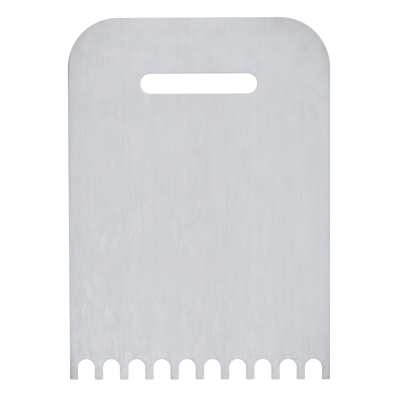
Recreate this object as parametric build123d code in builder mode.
from build123d import *
import os

# Notched trowel: a mortar comb cut from one flat sheet of stainless steel.
# The sheet stands upright. X runs along the row of teeth, Y through the
# thickness, Z from the tooth tips up to the hand slot. The origin is the middle
# of the tooth-tip line, in the middle of the sheet's thickness.
# All lengths are in millimetres.

# --- sheet ---
plate_width = 260.0
plate_height = 360.0
plate_thickness = 1.5
top_corner_radius = 50.0

# --- hand slot ---
slot_length = 116.0
slot_height = 19.5
slot_top_margin = 65.3  # from the sheet's top edge to the slot's centre line
slot_centre_z = plate_height - slot_top_margin

# --- notches ---
notch_count = 10
notch_pitch = 25.2
notch_width = 16.8
notch_depth = 20.0  # from the tip line to the bottom of the round root

# --- broken edges ---
tip_corner_radius = 0.5  # corner of a tooth tip, seen on the face
rim_break_radius = 0.3  # outer rim and notches, both faces
slot_break_radius = 0.5  # hand slot, eased more because fingers bear on it


def broad_faces(plate):
    """The two large flat faces, at the lowest and the highest Y."""
    faces = plate.faces().filter_by(Axis.Y).sort_by(Axis.Y)
    return faces[0], faces[-1]


# --- notched plate ---
with BuildPart() as notched_plate:
    # Face profile in the middle of the sheet; the sketch's own Y runs up the sheet.
    with BuildSketch(Plane.XZ) as profile:
        # blank, standing on the tooth-tip line
        Rectangle(plate_width, plate_height, align=(Align.CENTER, Align.MIN))
        # the two large corners at the top
        fillet(profile.vertices().group_by(Axis.Y)[-1], radius=top_corner_radius)
        # hand slot with full round ends
        with Locations((0, slot_centre_z)):
            SlotOverall(slot_length, slot_height, mode=Mode.SUBTRACT)
        # Notches with straight flanks and a full round root. Each cutter is a
        # round-ended slot of twice the notch's depth, centred on the tip line.
        with GridLocations(notch_pitch, 1, notch_count, 1):
            SlotOverall(2 * notch_depth, notch_width, rotation=90, mode=Mode.SUBTRACT)
        # the corners of the square tooth ends, the lowest vertices
        fillet(profile.vertices().group_by(Axis.Y)[0], radius=tip_corner_radius)
    extrude(amount=plate_thickness / 2, both=True)

    # Break the hand slot's edges first, then the whole outer rim. The faces are
    # found again for the rim, as the first fillet rebuilds them.
    slot_rims = [
        edge
        for face in broad_faces(notched_plate)
        for wire in face.inner_wires()
        for edge in wire.edges()
    ]
    fillet(slot_rims, radius=slot_break_radius)

    outer_rims = [
        edge
        for face in broad_faces(notched_plate)
        for edge in face.outer_wire().edges()
    ]
    fillet(outer_rims, radius=rim_break_radius)

notched_plate.part.label = "notched_plate"

os.makedirs("parts", exist_ok=True)
export_step(notched_plate.part, "parts/notched_plate.step")
